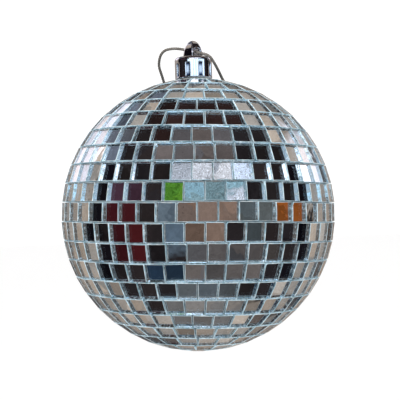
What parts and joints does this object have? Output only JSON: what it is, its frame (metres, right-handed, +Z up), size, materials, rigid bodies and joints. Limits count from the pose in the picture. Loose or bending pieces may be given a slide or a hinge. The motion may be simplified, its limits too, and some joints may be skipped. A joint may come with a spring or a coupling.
{
  "type": "mirror ball",
  "caption": "Mirror ball: hollow core faced with rows of square glass mirror tiles, chromed cap with a pierced lug, and a knotted metallic cord loop.",
  "frame": {"origin": "centre of the eye in the cap's lug, where the ball is hung from", "axes": "+Z up through the cap, away from the ball's centre; -Y is the side the cord doesn't cover; the eye's bore runs 40 degrees round from -Y towards +X"},
  "size_m": [0.1498, 0.1498, 0.1705],
  "materials": {
    "mirror_tile": "silvered glass, cut edges pale green-blue",
    "adhesive_backing": "dull glued film",
    "core_plastic": "moulded, unpainted",
    "glue": "set hot-melt glue",
    "cap_chrome": "chrome-plated plastic, bright",
    "cord_yarn": "twisted metallic yarn"
  },
  "bodies": {
    "ball": {"lower_tiles_10": "mirror_tile", "lower_tiles_09": "mirror_tile", "lower_tiles_08": "mirror_tile", "lower_tiles_07": "mirror_tile", "lower_tiles_06": "mirror_tile", "lower_tiles_05": "mirror_tile", "lower_tiles_04": "mirror_tile", "lower_tiles_03": "mirror_tile", "lower_tiles_02": "mirror_tile", "lower_tiles_01": "mirror_tile", "equator_tiles": "mirror_tile", "upper_tiles_01": "mirror_tile", "upper_tiles_02": "mirror_tile", "upper_tiles_03": "mirror_tile", "upper_tiles_04": "mirror_tile", "upper_tiles_05": "mirror_tile", "upper_tiles_06": "mirror_tile", "upper_tiles_07": "mirror_tile", "upper_tiles_08": "mirror_tile", "upper_tiles_09": "mirror_tile", "upper_tiles_10": "mirror_tile", "bottom_tile": "mirror_tile", "core_lower_half": "core_plastic", "core_upper_half": "core_plastic", "adhesive_backing_lower": "adhesive_backing", "adhesive_backing_upper": "adhesive_backing", "cap_glue_ring": "glue", "hanging_cap": "cap_chrome"},
    "loop": {"hanging_cord": "cord_yarn", "cord_knot": "cord_yarn"}
  },
  "joints": [
    {"name": "loop_swing", "type": "hinge", "parent": "ball", "child": "loop", "pos_m": [0, 0, 0], "axis": [0.7953, -0.587, -0.1515], "range_deg": [0, 135]}
  ]
}
